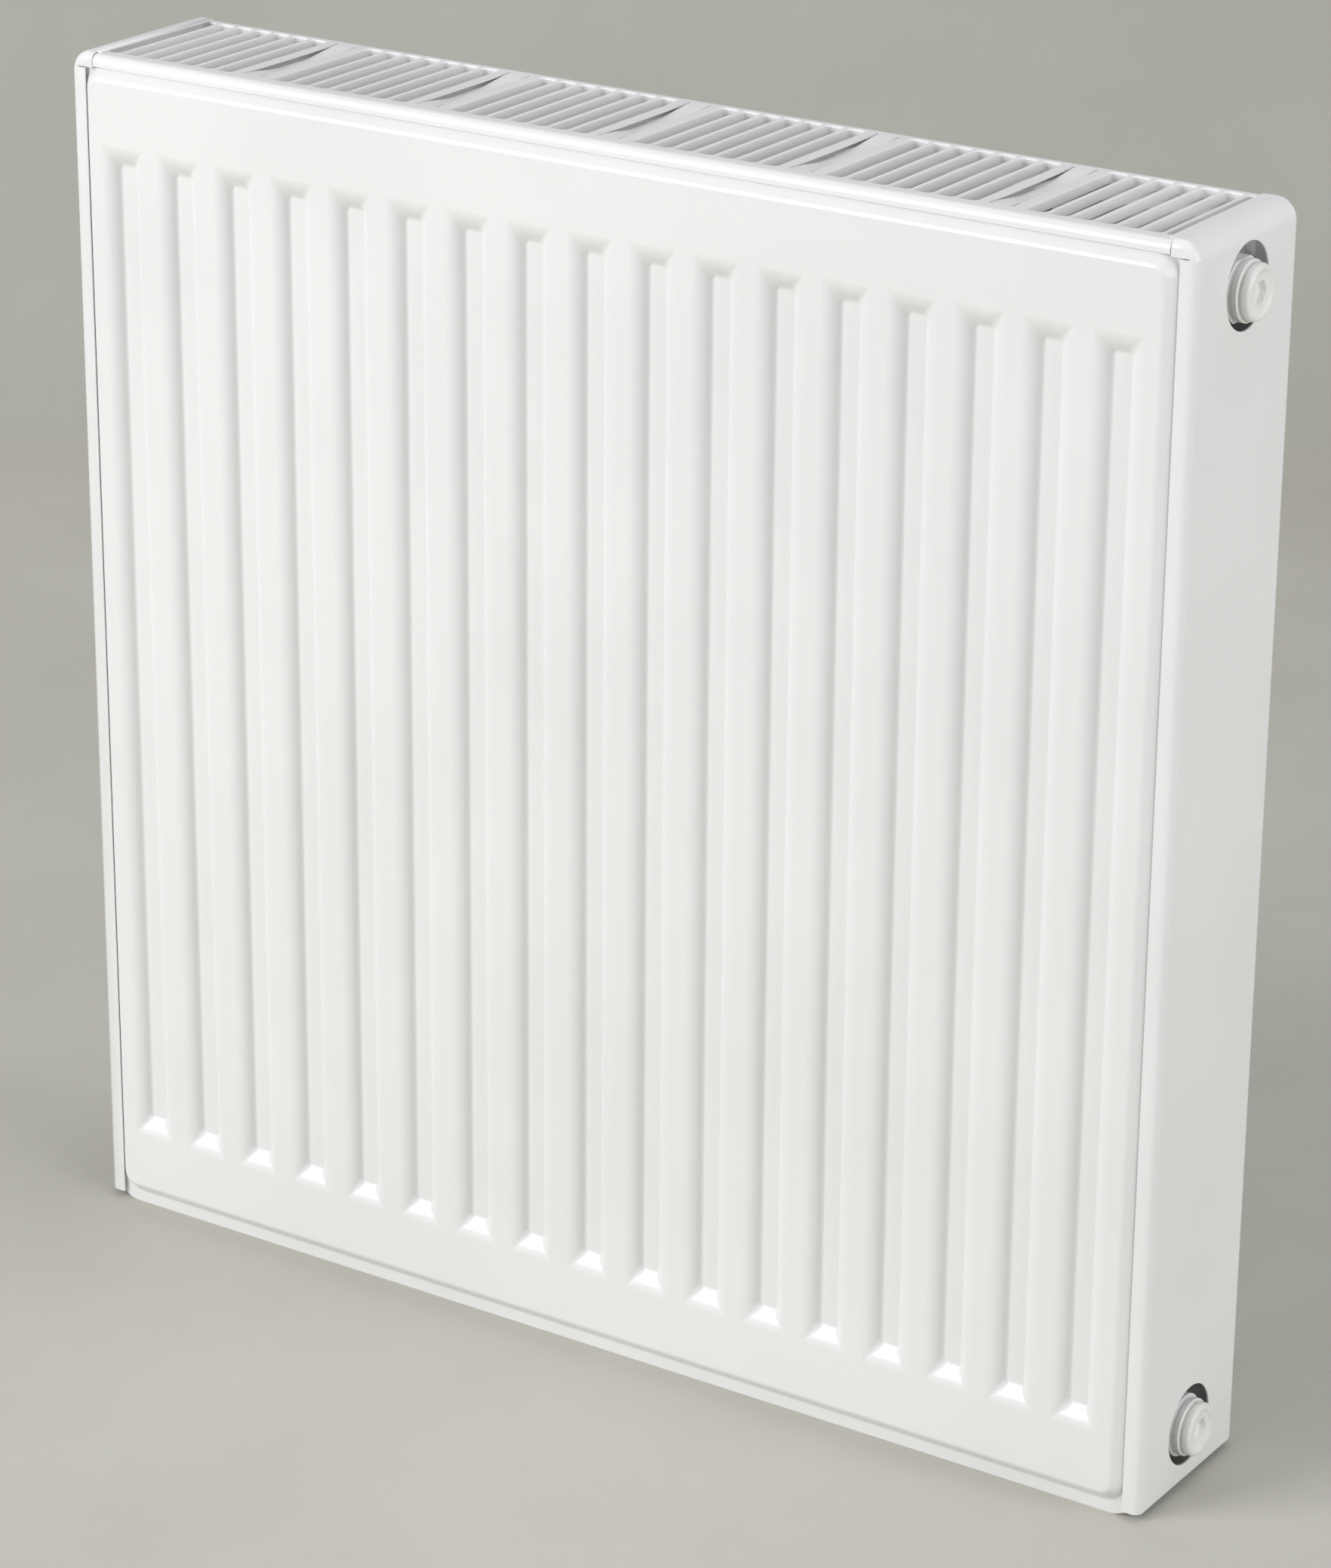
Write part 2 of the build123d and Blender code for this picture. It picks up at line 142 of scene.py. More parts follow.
def close_piece(piece, smooth_angle=35):
    """Leave edit mode with merged points, shaded smooth across soft edges."""
    if bpy.context.mode != "OBJECT":
        bpy.ops.mesh.select_all(action="SELECT")
        bpy.ops.mesh.remove_doubles(threshold=0.002 * MM)
        bpy.ops.object.mode_set(mode="OBJECT")
    bpy.ops.object.select_all(action="DESELECT")
    piece.select_set(True)
    bpy.context.view_layer.objects.active = piece
    bpy.ops.object.shade_smooth_by_angle(angle=radians(smooth_angle))


def even_normals(piece):
    """Keep the big flat faces flat where they meet narrow rounded strips."""
    modify(piece, "WEIGHTED_NORMAL", keep_sharp=True, weight=60)


def copied(piece, name, move):
    """A copy with its own mesh, moved by a matrix."""
    copy = piece.copy()
    copy.data = piece.data.copy()
    copy.name = name
    copy.data.name = name
    bpy.context.collection.objects.link(copy)
    copy.data.transform(move)
    return copy


def mirrored(piece, name, axis, plane):
    """A copy with its own mesh, mirrored across a plane square to an axis."""
    turn = Matrix.Identity(4)
    turn[axis][axis] = -1
    turn[axis][3] = 2 * plane
    copy = copied(piece, name, turn)
    copy.data.flip_normals()
    return copy


def hand_over(piece, body, node, slot):
    """Tie a finished piece to its CAD body, the node it stands for, its slot and its finish."""
    piece.data.materials.clear()
    piece.data.materials.append(finish_for(slot))
    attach(piece, body)
    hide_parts(node)


# ---- Finishes ----

def linear(code, alpha=1.0):
    """An sRGB hex colour as a linear RGBA tuple."""
    parts = [int(code[i:i + 2], 16) / 255 for i in (0, 2, 4)]
    return tuple(c / 12.92 if c <= 0.04045 else ((c + 0.055) / 1.055) ** 2.4 for c in parts) + (alpha,)


def add(tree, kind, values=None, links=None, **settings):
    """Add one shader node with its settings, input values and incoming links."""
    made = tree.nodes.new(kind)
    for key, value in settings.items():
        setattr(made, key, value)
    for key, value in (values or {}).items():
        made.inputs[key].default_value = value
    for key, source in (links or {}).items():
        tree.links.new(source, made.inputs[key])
    return made


def per_metre(millimetres):
    """The texture scale whose features are this many millimetres across."""
    return 1 / (millimetres * MM)


def new_material(name):
    material = bpy.data.materials.new(name)
    material.use_nodes = True
    material.node_tree.nodes.clear()
    return material, material.node_tree


def place_in_object(tree):
    return add(tree, "ShaderNodeTexCoord").outputs["Object"]


def two_tones(tree, factor, low, high, start=0.35, end=0.65):
    """A colour that wanders between two close tones."""
    ramp = add(tree, "ShaderNodeValToRGB", links={"Fac": factor})
    ramp.color_ramp.elements[0].position = start
    ramp.color_ramp.elements[0].color = linear(low)
    ramp.color_ramp.elements[1].position = end
    ramp.color_ramp.elements[1].color = linear(high)
    return ramp.outputs["Color"]


def spread(tree, factor, low, high):
    """A 0 to 1 pattern brought into a range."""
    ranged = add(tree, "ShaderNodeMapRange", {"To Min": low, "To Max": high}, {"Value": factor})
    return ranged.outputs["Result"]


def output(tree, shader):
    add(tree, "ShaderNodeOutputMaterial", links={"Surface": shader.outputs["BSDF"]})


def powder_coat(name, low, high, rough, peel_mm, peel_depth_mm):
    """Stoved powder coat: a thick polyester skin that flows into a fine orange peel, with a soft gloss.

    The peel is a smooth ripple a few millimetres across and a few microns deep, drawn deeper than real
    so that it shows. The tone drifts a little over a hand's breadth, as the film's thickness does."""
    material, tree = new_material(name)
    place = place_in_object(tree)
    drift = add(tree, "ShaderNodeTexNoise", {"Scale": per_metre(120), "Detail": 2.0}, {"Vector": place})
    peel = add(tree, "ShaderNodeTexNoise", {"Scale": per_metre(peel_mm), "Detail": 2.0, "Roughness": 0.55},
               {"Vector": place})
    grain = add(tree, "ShaderNodeTexNoise", {"Scale": per_metre(0.5), "Detail": 1.0}, {"Vector": place})
    height = add(tree, "ShaderNodeMath", {1: 0.25}, {0: grain.outputs["Fac"], 2: peel.outputs["Fac"]},
                 operation="MULTIPLY_ADD")
    bump = add(tree, "ShaderNodeBump", {"Strength": 1.0, "Distance": peel_depth_mm * MM},
               {"Height": height.outputs["Value"]})
    shader = add(tree, "ShaderNodeBsdfPrincipled", {"IOR": 1.5, "Coat Weight": 0.25, "Coat Roughness": 0.12},
                 {"Base Color": two_tones(tree, drift.outputs["Fac"], low, high),
                  "Roughness": spread(tree, peel.outputs["Fac"], rough - 0.04, rough + 0.04),
                  "Normal": bump.outputs["Normal"]})
    output(tree, shader)
    return material


def moulded_plastic(name, low, high, rough, ior):
    """Injection-moulded plastic: an even skin with flow haze and fine tool marks."""
    material, tree = new_material(name)
    place = place_in_object(tree)
    haze = add(tree, "ShaderNodeTexNoise", {"Scale": per_metre(9), "Detail": 3.0}, {"Vector": place})
    skin = add(tree, "ShaderNodeTexNoise", {"Scale": per_metre(0.4), "Detail": 2.0}, {"Vector": place})
    bump = add(tree, "ShaderNodeBump", {"Strength": 1.0, "Distance": 0.012 * MM}, {"Height": skin.outputs["Fac"]})
    shader = add(tree, "ShaderNodeBsdfPrincipled",
                 {"IOR": ior},
                 {"Base Color": two_tones(tree, haze.outputs["Fac"], low, high),
                  "Roughness": spread(tree, haze.outputs["Fac"], rough - 0.06, rough + 0.06),
                  "Normal": bump.outputs["Normal"]})
    output(tree, shader)
    return material


def bright_metal(name, low, high, rough, stretch_x, line_mm, depth_mm):
    """Bare or plated metal with fine lines along X from rolling or turning, dulled a little by handling."""
    material, tree = new_material(name)
    place = place_in_object(tree)
    drawn = add(tree, "ShaderNodeMapping", {"Scale": (stretch_x, 1.0, 1.0)}, {"Vector": place})
    lines = add(tree, "ShaderNodeTexNoise", {"Scale": per_metre(line_mm), "Detail": 3.0},
                {"Vector": drawn.outputs["Vector"]})
    smear = add(tree, "ShaderNodeTexNoise", {"Scale": per_metre(6), "Detail": 2.0}, {"Vector": place})
    bump = add(tree, "ShaderNodeBump", {"Strength": 1.0, "Distance": depth_mm * MM},
               {"Height": lines.outputs["Fac"]})
    shader = add(tree, "ShaderNodeBsdfPrincipled", {"Metallic": 1.0},
                 {"Base Color": two_tones(tree, smear.outputs["Fac"], low, high),
                  "Roughness": spread(tree, smear.outputs["Fac"], rough - 0.05, rough + 0.08),
                  "Normal": bump.outputs["Normal"]})
    output(tree, shader)
    return material


def black_rubber(name):
    """Moulded nitrile rubber: dull near-black with a dusty bloom and a fine grainy skin."""
    material, tree = new_material(name)
    place = place_in_object(tree)
    bloom = add(tree, "ShaderNodeTexNoise", {"Scale": per_metre(4), "Detail": 4.0}, {"Vector": place})
    skin = add(tree, "ShaderNodeTexNoise", {"Scale": per_metre(0.3), "Detail": 2.0}, {"Vector": place})
    bump = add(tree, "ShaderNodeBump", {"Strength": 1.0, "Distance": 0.02 * MM}, {"Height": skin.outputs["Fac"]})
    shader = add(tree, "ShaderNodeBsdfPrincipled", {"IOR": 1.52},
                 {"Base Color": two_tones(tree, bloom.outputs["Fac"], "1B1B1B", "2B2A29"),
                  "Roughness": spread(tree, bloom.outputs["Fac"], 0.7, 0.85),
                  "Normal": bump.outputs["Normal"]})
    output(tree, shader)
    return material


def pale_floor(name, low, high):
    """Plain pale plaster-like floor and backdrop, matt, with a faint cloudy tone."""
    material, tree = new_material(name)
    place = place_in_object(tree)
    cloud = add(tree, "ShaderNodeTexNoise", {"Scale": per_metre(420), "Detail": 5.0, "Roughness": 0.6},
                {"Vector": place})
    grit = add(tree, "ShaderNodeTexNoise", {"Scale": per_metre(3), "Detail": 2.0}, {"Vector": place})
    bump = add(tree, "ShaderNodeBump", {"Strength": 0.5, "Distance": 0.2 * MM}, {"Height": grit.outputs["Fac"]})
    shader = add(tree, "ShaderNodeBsdfPrincipled", {"Specular IOR Level": 0.25},
                 {"Base Color": two_tones(tree, cloud.outputs["Fac"], low, high, 0.25, 0.75),
                  "Roughness": spread(tree, grit.outputs["Fac"], 0.75, 0.9),
                  "Normal": bump.outputs["Normal"]})
    output(tree, shader)
    return material


finishes = {}


def finish_for(slot):
    """The finish for a material slot of the record, made once."""
    if slot in finishes:
        return finishes[slot]
    colours = bpy.context.scene.radiator_colours
    white, shade, plastic = colours.coat_light, colours.coat_deep, colours.plastic
    makers = {
        # Polyester powder over pressed steel, stoved: satin gloss, broad soft orange peel
        "panel_enamel": lambda: powder_coat("satin_powder_coat_on_panel", shade, white, 0.34, 2.6, 0.010),
        "cover_enamel": lambda: powder_coat("satin_powder_coat_on_side_panel", shade, white, 0.36, 2.2, 0.010),
        "grille_enamel": lambda: powder_coat("satin_powder_coat_on_grille", shade, white, 0.38, 1.8, 0.008),
        # A thin flood coat on strip that nobody sees: flat and slightly grey
        "convector_enamel": lambda: powder_coat("matt_flood_coat_on_strip", "CFCFCC", "DADAD7", 0.62, 1.2, 0.012),
        # The same powder over forged and welded steel, thicker and rougher
        "boss_enamel": lambda: powder_coat("powder_coat_on_forging", shade, white, 0.4, 1.6, 0.03),
        # High-density polyethylene: waxy white and softly glossy
        "plug_plastic": lambda: moulded_plastic("moulded_polyethylene", plastic, "F0F0EE", 0.42, 1.54),
        # Nylon: harder, slightly yellow, dull
        "clip_plastic": lambda: moulded_plastic("moulded_nylon", "D9D8D2", "E2E1DB", 0.48, 1.53),
        # Acetal: dense and glossy
        "spout_plastic": lambda: moulded_plastic("moulded_acetal", "E4E4E1", "ECECEA", 0.25, 1.48),
        "seal_rubber": lambda: black_rubber("moulded_nitrile_rubber"),
        # Hardened strip, bright from rolling
        "spring_steel": lambda: bright_metal("rolled_spring_steel", "8E8F91", "A6A7A9", 0.28, 0.05, 0.3, 0.004),
        # Nickel over turned brass: warm white metal with fine tool lines
        "nickel_plate": lambda: bright_metal("nickel_plated_brass", "C2BDB2", "D0CCC2", 0.2, 6.0, 0.5, 0.003),
    }
    finishes[slot] = makers[slot]()
    return finishes[slot]


# ---- Settings ----

def millimetres(name, description, default):
    return bpy.props.FloatProperty(name=name, description=description, default=default * MM,
                                   min=0.0, unit="LENGTH", subtype="DISTANCE", precision=4)


class RadiatorSizes(bpy.types.PropertyGroup):
    """Sizes of the pressings and folds."""
    sheet: millimetres("Sheet", "Thickness of a water panel's sheet", 1.2)
    face_rise: millimetres("Face rise", "How far the pressed face stands proud of its rim", 6.2)
    slope_run: millimetres("Slope", "Width of the slope round the pressed face", 5.6)
    field_corner: millimetres("Face corner", "Corner radius of the pressed face", 6.0)
    side_rim: millimetres("Side rim", "Distance from the radiator's end to the slope", 7.7)
    bottom_rim: millimetres("Bottom rim", "Flat rim under the pressed face", 6.5)
    top_rim: millimetres("Top rim", "Flat rim above the pressed face", 0.5)
    valley_mouth: millimetres("Valley mouth", "Width of a valley at the face", 18.0)
    valley_floor: millimetres("Valley floor", "Width of a valley at its floor", 10.0)
    valley_depth: millimetres("Valley depth", "Depth of a valley below the face", 5.0)
    valley_bottom: millimetres("Valley foot", "Height where the valleys begin", 45.0)
    valley_top: millimetres("Valley head", "Height where the valleys end", 554.5)
    valley_end: millimetres("Valley end", "Length of the slope at a valley's end", 6.5)
    crest_radius: millimetres("Crest softness", "Width of the rounding where a valley leaves the face", 3.4)
    floor_radius: millimetres("Floor softness", "Width of the rounding at a valley's floor", 0.9)
    valley_corner: millimetres("Valley corner", "Width of the rounding in a valley's corners", 2.2)
    field_radius: millimetres("Face softness", "Width of the rounding round the pressed face", 1.3)
    foot_radius: millimetres("Foot softness", "Width of the rounding where the slope meets the rim", 0.7)
    cover_sheet: millimetres("Cover sheet", "Thickness of the side panels and grille", 0.8)
    fold_radius: millimetres("Fold radius", "Outside radius of the covers' folds", 4.0)
    corner_radius: millimetres("Corner radius", "Outside radius of a side panel's top corner", 10.0)
    top_flange: millimetres("Top flange", "Width of a side panel's top flange", 16.0)
    ear_flange: millimetres("Ear", "Width of the flange at the drawn top corner", 13.0)
    side_flange: millimetres("Side flange", "Width of the flange down the front and back", 8.6)
    ear_height: millimetres("Ear seam", "Drop from the top to the seam under the ear", 7.4)
    seam: millimetres("Seam", "Width of the seam under the ear", 0.5)
    side_hole: millimetres("Tapping hole", "Radius of the holes round the tappings", 19.5)
    toe: millimetres("Toe", "Chamfer at the side panel's back foot", 4.0)
    slot_width: millimetres("Slot", "Width of a grille slot", 9.3)
    slot_corner: millimetres("Slot corner", "Corner radius of a grille slot", 2.0)
    slot_front: millimetres("Slot front", "Distance from the middle to a slot's front end", 36.0)
    slot_rear: millimetres("Slot rear", "Distance from the middle to a slot's rear end", 39.0)
    blade: millimetres("Blade", "Depth of the turned-down blades under the grille's top", 4.8)
    slit: millimetres("Slit", "Width of the slits beside a grille strip", 1.2)
    strip_drop: millimetres("Strip drop", "How far a grille strip is pressed down", 2.5)
    strip_slope: millimetres("Strip slope", "Length of the slope at each end of a strip", 30.0)


class RadiatorColours(bpy.types.PropertyGroup):
    """Colours of the main finishes as sRGB hex values."""
    coat_light: bpy.props.StringProperty(name="Coat", description="Light tone of the powder coat",
                                         default="EFEFEF")
    coat_deep: bpy.props.StringProperty(name="Coat, deep", description="Deep tone of the powder coat",
                                        default="EBEBEB")
    plastic: bpy.props.StringProperty(name="Plug", description="Deep tone of the moulded plugs",
                                      default="E6E6E3")


class StudioSettings(bpy.types.PropertyGroup):
    """Camera, backdrop and floor."""
    azimuth: bpy.props.FloatProperty(name="Azimuth", description="Turn of the camera round the radiator",
                                     default=radians(33.35), subtype="ANGLE", unit="ROTATION")
    pitch: bpy.props.FloatProperty(name="Pitch", description="Downward tilt of the camera",
                                   default=radians(21.55), subtype="ANGLE", unit="ROTATION")
    roll: bpy.props.FloatProperty(name="Roll", description="Roll of the camera about its own axis",
                                  default=radians(0.467), subtype="ANGLE", unit="ROTATION")
    place: bpy.props.FloatVectorProperty(name="Camera", description="Place of the camera",
                                         default=(1.2137, -1.8368, 1.1466), subtype="TRANSLATION", unit="LENGTH")
    lens: bpy.props.FloatProperty(name="Lens", description="Focal length on a 36 mm sensor", default=114.89,
                                  unit="CAMERA")
    wall_height: bpy.props.FloatProperty(name="Wall", description="Height of the backdrop",
                                         default=0.36, unit="LENGTH", subtype="DISTANCE")
    floor_deep: bpy.props.StringProperty(name="Floor, deep", description="Deep tone of the floor",
                                         default="BCBAB1")
    floor_light: bpy.props.StringProperty(name="Floor", description="Light tone of the floor",
                                          default="CBC9C1")


# ---- Pieces ----

class RADIATOR_OT_water_panels(bpy.types.Operator):
    """Press the outer sheet of the front water panel and mirror it for the back"""
    bl_idname = "radiator.water_panels"
    bl_label = "Water panels"

    def execute(self, context):
        size = context.scene.radiator_sizes
        rim_y = face_y + size.face_rise
        panel_half = panel_high.x
        field_half = end_x - size.side_rim
        field_low, field_high = size.bottom_rim, panel_high.z - size.top_rim
        front = start_piece("front_water_panel")
        self.sheet(field_half, field_low, field_high, rim_y, size.field_corner + size.slope_run)
        # The rim is drawn out from the face's foot to the sheet's outline
        field_z, panel_z = (field_low + field_high) / 2, (panel_low.z + panel_high.z) / 2
        bpy.ops.mesh.select_mode(type="EDGE")
        bpy.ops.mesh.select_all(action="SELECT")
        bpy.ops.mesh.extrude_edges_move()
        stretch((panel_half / field_half, 1, (panel_high.z - panel_low.z) / (field_high - field_low)),
                (0, rim_y, field_z))
        shift((0, 0, panel_z - field_z))
        # The face is drawn out of the sheet with a slope all round
        need(pick("FACE", lambda c, n: max(abs(c.x), abs(c.z - field_z)) < COARSE), "pressed face")
        bpy.ops.mesh.inset(thickness=size.slope_run, depth=size.face_rise)
        # Valleys between the channels are cut out of the face's middle band and pressed back in
        for level in (size.valley_bottom, size.valley_top):
            need(pick("FACE", lambda c, n: abs(c.y - face_y) < FINE), "face to cut")
            cut((0, face_y, level), (0, 0, 1))
        pitch = 2 * end_x / MODULES
        centres = [-end_x + valley * pitch for valley in range(1, MODULES)]
        band_z = (size.valley_bottom + size.valley_top) / 2

        def in_band(c):
            return abs(c.y - face_y) < FINE and abs(c.z - band_z) < COARSE

        for centre in centres:
            for hand in (-1, 1):
                need(pick("FACE", lambda c, n: in_band(c)), "middle band")
                cut((centre + hand * size.valley_mouth / 2, face_y, 0), (1, 0, 0))
        need(pick("FACE", lambda c, n: in_band(c) and min(abs(c.x - x) for x in centres) < MM), "valley")
        wall = (size.valley_mouth - size.valley_floor) / 2
        bpy.ops.mesh.inset(thickness=wall, depth=-size.valley_depth, use_individual=True)
        run = size.valley_top - size.valley_bottom
        stretch((1, 1, (run - 2 * size.valley_end) / (run - 2 * wall)), (0, rim_y, band_z))
        self.soften(size, centres, field_half - size.slope_run, field_low, field_high)
        close_piece(front)
        modify(front, "BEVEL", width=size.crest_radius, segments=4, limit_method="WEIGHT",
               use_clamp_overlap=False)
        modify(front, "SOLIDIFY", thickness=size.sheet, offset=-1.0)
        modify(front, "BEVEL", width=0.3 * MM, segments=2, limit_method="ANGLE", angle_limit=radians(60))
        close_piece(front, 40)
        even_normals(front)
        back = mirrored(front, "back_water_panel", 1, mid_y)
        for piece, node in ((front, "front_panel_outer"), (back, "back_panel_outer")):
            hand_over(piece, "frame", node, "panel_enamel")
        return {"FINISHED"}

    def soften(self, size, centres, face_half, field_low, field_high):
        """Mark every pressed edge with its own softness: broad at a crest, tight at a floor."""
        near = 0.05 * MM
        floor_y = face_y + size.valley_depth
        rim_y = face_y + size.face_rise
        face_low, face_high = field_low + size.slope_run, field_high - size.slope_run

        def at(point, y):
            return abs(point.y - y) < near

        def mouth(a, b):
            middle = (a + b) / 2
            aside = min(abs(middle.x - x) for x in centres)
            if not (at(a, face_y) and at(b, face_y)):
                return False
            if abs(a.x - b.x) < near:
                inside = size.valley_bottom < middle.z < size.valley_top
                return inside and abs(aside - size.valley_mouth / 2) < near
            end = min(abs(middle.z - size.valley_bottom), abs(middle.z - size.valley_top))
            return end < near and aside < size.valley_mouth / 2 - near

        def crest(a, b):
            middle = (a + b) / 2
            if not (at(a, face_y) and at(b, face_y)):
                return False
            ends = middle.z < face_low + near or middle.z > face_high - near
            corner = abs(middle.x) > face_half - size.field_corner and (
                middle.z < face_low + size.field_corner or middle.z > face_high - size.field_corner)
            return abs(middle.x) > face_half - near or ends or corner

        def foot(a, b):
            middle = (a + b) / 2
            return (at(a, rim_y) and at(b, rim_y) and abs(middle.x) < face_half + size.slope_run + near
                    and field_low - near < middle.z < field_high + near)

        marks = (
            ("mouth", mouth, size.crest_radius),
            ("floor", lambda a, b: at(a, floor_y) and at(b, floor_y), size.floor_radius),
            ("valley corner", lambda a, b: {at(a, floor_y), at(b, floor_y)} == {True, False}
             and (at(a, face_y) or at(b, face_y)), size.valley_corner),
            ("crest", crest, size.field_radius),
            ("foot", foot, size.foot_radius),
        )
        for what, test, radius in marks:
            need(pick("EDGE", test), what)
            bpy.ops.transform.edge_bevelweight(value=radius / size.crest_radius)

    def sheet(self, half, low, high, y, corner):
        """Add an upright sheet that faces the room, with rounded corners."""
        middle = (0, y, (low + high) / 2)
        bpy.ops.mesh.primitive_plane_add(size=1, location=middle, rotation=(pi / 2, 0, 0))
        stretch((2 * half, 1, high - low), middle)
        bpy.ops.mesh.bevel(offset=corner, segments=8, affect="VERTICES")


class RADIATOR_OT_side_panels(bpy.types.Operator):
    """Fold the right side panel out of sheet, pierce it, and mirror it for the left"""
    bl_idname = "radiator.side_panels"
    bl_label = "Side panels"

    def execute(self, context):
        size = context.scene.radiator_sizes
        foot = side_low.z
        inner_x = end_x - size.top_flange
        ear_z = top_z - size.ear_height
        flat = half_depth - 0.05 * MM
        right = start_piece("right_side_cover")
        middle = ((inner_x + end_x) / 2, mid_y, (foot + top_z) / 2)
        bpy.ops.mesh.primitive_cube_add(size=1, location=middle)
        stretch((size.top_flange, 2 * half_depth, top_z - foot), middle)
        need(pick("FACE", lambda c, n: n.x < -0.9 or n.z < -0.9), "open side")
        bpy.ops.mesh.delete(type="FACE")
        need(pick("EDGE", lambda a, b: min(a.x, b.x) > end_x - MM and min(a.z, b.z) > top_z - MM), "top corner")
        bpy.ops.mesh.bevel(offset=size.corner_radius, segments=8, affect="EDGES")
        need(pick("EDGE", lambda a, b: abs(a.y - b.y) < MM and abs(abs(a.y - mid_y) - half_depth) < FINE
                  and max(a.x, b.x) > inner_x + MM and max(a.z, b.z) > foot + MM), "shoulder")
        bpy.ops.mesh.bevel(offset=size.fold_radius, segments=5, affect="EDGES")
        # Narrow flanges down the sides, a wider ear at the drawn corner, and a fine seam between them
        for level in (ear_z, ear_z - size.seam):
            bpy.ops.mesh.select_all(action="SELECT")
            cut((0, 0, level), (0, 0, 1))
        flange_x = end_x - size.side_flange
        ear_x = end_x - size.ear_flange
        shoulder = half_depth - size.fold_radius
        pick("FACE", lambda c, n: abs(c.y - mid_y) > flat and c.z < ear_z)
        cut((flange_x, 0, 0), (1, 0, 0))
        need(pick("FACE", lambda c, n: abs(c.y - mid_y) > flat and c.z < ear_z and c.x < flange_x), "flange waste")
        bpy.ops.mesh.delete(type="FACE")
        pick("FACE", lambda c, n: abs(c.y - mid_y) > shoulder and c.z > ear_z)
        cut((ear_x, 0, 0), (1, 0, 0))
        need(pick("FACE", lambda c, n: abs(c.y - mid_y) > shoulder and c.z > ear_z and c.x < ear_x), "ear waste")
        bpy.ops.mesh.delete(type="FACE")
        need(pick("FACE", lambda c, n: abs(c.y - mid_y) > flat and ear_z - size.seam < c.z < ear_z
                  and c.x < end_x - size.fold_radius), "seam")
        bpy.ops.mesh.delete(type="FACE")
        bpy.ops.mesh.select_all(action="SELECT")
        cut((0, mid_y + half_depth - size.toe, foot), (0, 1, -1), clear_outer=True)
        close_piece(right)
        modify(right, "SOLIDIFY", thickness=size.cover_sheet, offset=-1.0)
        self.pierce(right, size.side_hole)
        modify(right, "BEVEL", width=0.25 * MM, segments=2, limit_method="ANGLE", angle_limit=radians(60))
        close_piece(right, 40)
        even_normals(right)
        left = mirrored(right, "left_side_cover", 0, 0.0)
        for piece, end in ((right, "right"), (left, "left")):
            hand_over(piece, f"{end}_cover", f"{end}_side_panel", "cover_enamel")
        return {"FINISHED"}

    def pierce(self, piece, radius):
        """Cut a round hole where each plug's tapping is, a little above the plug's own centre."""
        lifts = {"top": 2 * MM, "bottom": 1 * MM}
        through = 20 * MM
        punch = start_piece("punch")
        for place, lift in lifts.items():
            low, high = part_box(f"{place}_right_plug")
            bpy.ops.mesh.primitive_cylinder_add(
                vertices=ROUND, radius=radius, depth=through, rotation=(0, pi / 2, 0),
                location=(end_x, mid_y, (low.z + high.z) / 2 + lift))
        bpy.ops.object.mode_set(mode="OBJECT")
        bpy.ops.object.select_all(action="DESELECT")
        piece.select_set(True)
        modify(piece, "BOOLEAN", operation="DIFFERENCE", object=punch, solver="EXACT")
        bpy.data.objects.remove(punch)


class RADIATOR_OT_plugs(bpy.types.Operator):
    """Turn the moulded plug of the top right tapping and copy it to the bottom one"""
    bl_idname = "radiator.plugs"
    bl_label = "Transport plugs"

    def execute(self, context):
        centre = (plug_low + plug_high) / 2
        outer = plug_high.x
        head = 8 * MM
        shoulder = outer - head
        # Distance out from the shoulder and radius, from the bottom of the hollow shank round to the dish
        profile = (
            (-2.0, 8.2), (-11.5, 8.2), (-11.5, 9.9), (-11.1, 10.3), (0.0, 10.3), (0.0, 13.4), (0.4, 13.8),
            (2.5, 13.8), (3.0, 13.3), (3.0, 11.6), (4.0, 11.6), (4.0, 12.3), (4.4, 12.7), (6.2, 12.7),
            (7.0, 12.45), (7.6, 11.9), (7.95, 11.2), (8.0, 10.4), (7.9, 9.8), (7.5, 9.3), (7.2, 8.6), (7.1, 7.6),
        )
        piece = start_piece("top_right_transport_plug")
        first_out, first_r = profile[0]
        bpy.ops.mesh.primitive_circle_add(vertices=ROUND, radius=first_r * MM, fill_type="NGON",
                                          location=(shoulder + first_out * MM, centre.y, centre.z),
                                          rotation=(0, pi / 2, 0))
        for (before, narrow), (out, wide) in zip(profile, profile[1:]):
            bpy.ops.mesh.extrude_region_move(TRANSFORM_OT_translate={"value": ((out - before) * MM, 0, 0)})
            stretch((1, wide / narrow, wide / narrow), (shoulder + out * MM, centre.y, centre.z))
        bpy.ops.mesh.select_all(action="SELECT")
        bpy.ops.mesh.normals_make_consistent(inside=False)
        close_piece(piece)
        # The hexagon socket, by its half width across the flats, as deep as half the punch
        half_flats = 5 * MM
        punch = start_piece("punch")
        bpy.ops.mesh.primitive_cylinder_add(
            vertices=6, radius=half_flats / cos(pi / 6), depth=head,
            location=(outer, centre.y, centre.z), rotation=(0, pi / 2, 0))
        bpy.ops.object.mode_set(mode="OBJECT")
        modify(piece, "BOOLEAN", operation="DIFFERENCE", object=punch, solver="EXACT")
        bpy.data.objects.remove(punch)
        modify(piece, "BEVEL", width=0.2 * MM, segments=2, limit_method="ANGLE", angle_limit=radians(50))
        close_piece(piece, 40)
        low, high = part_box("bottom_right_plug")
        drop = (low + high) / 2 - centre
        other = copied(piece, "bottom_right_transport_plug", Matrix.Translation(drop))
        for made, place in ((piece, "top"), (other, "bottom")):
            hand_over(made, f"{place}_right_plug", f"{place}_right_plug", "plug_plastic")
        return {"FINISHED"}


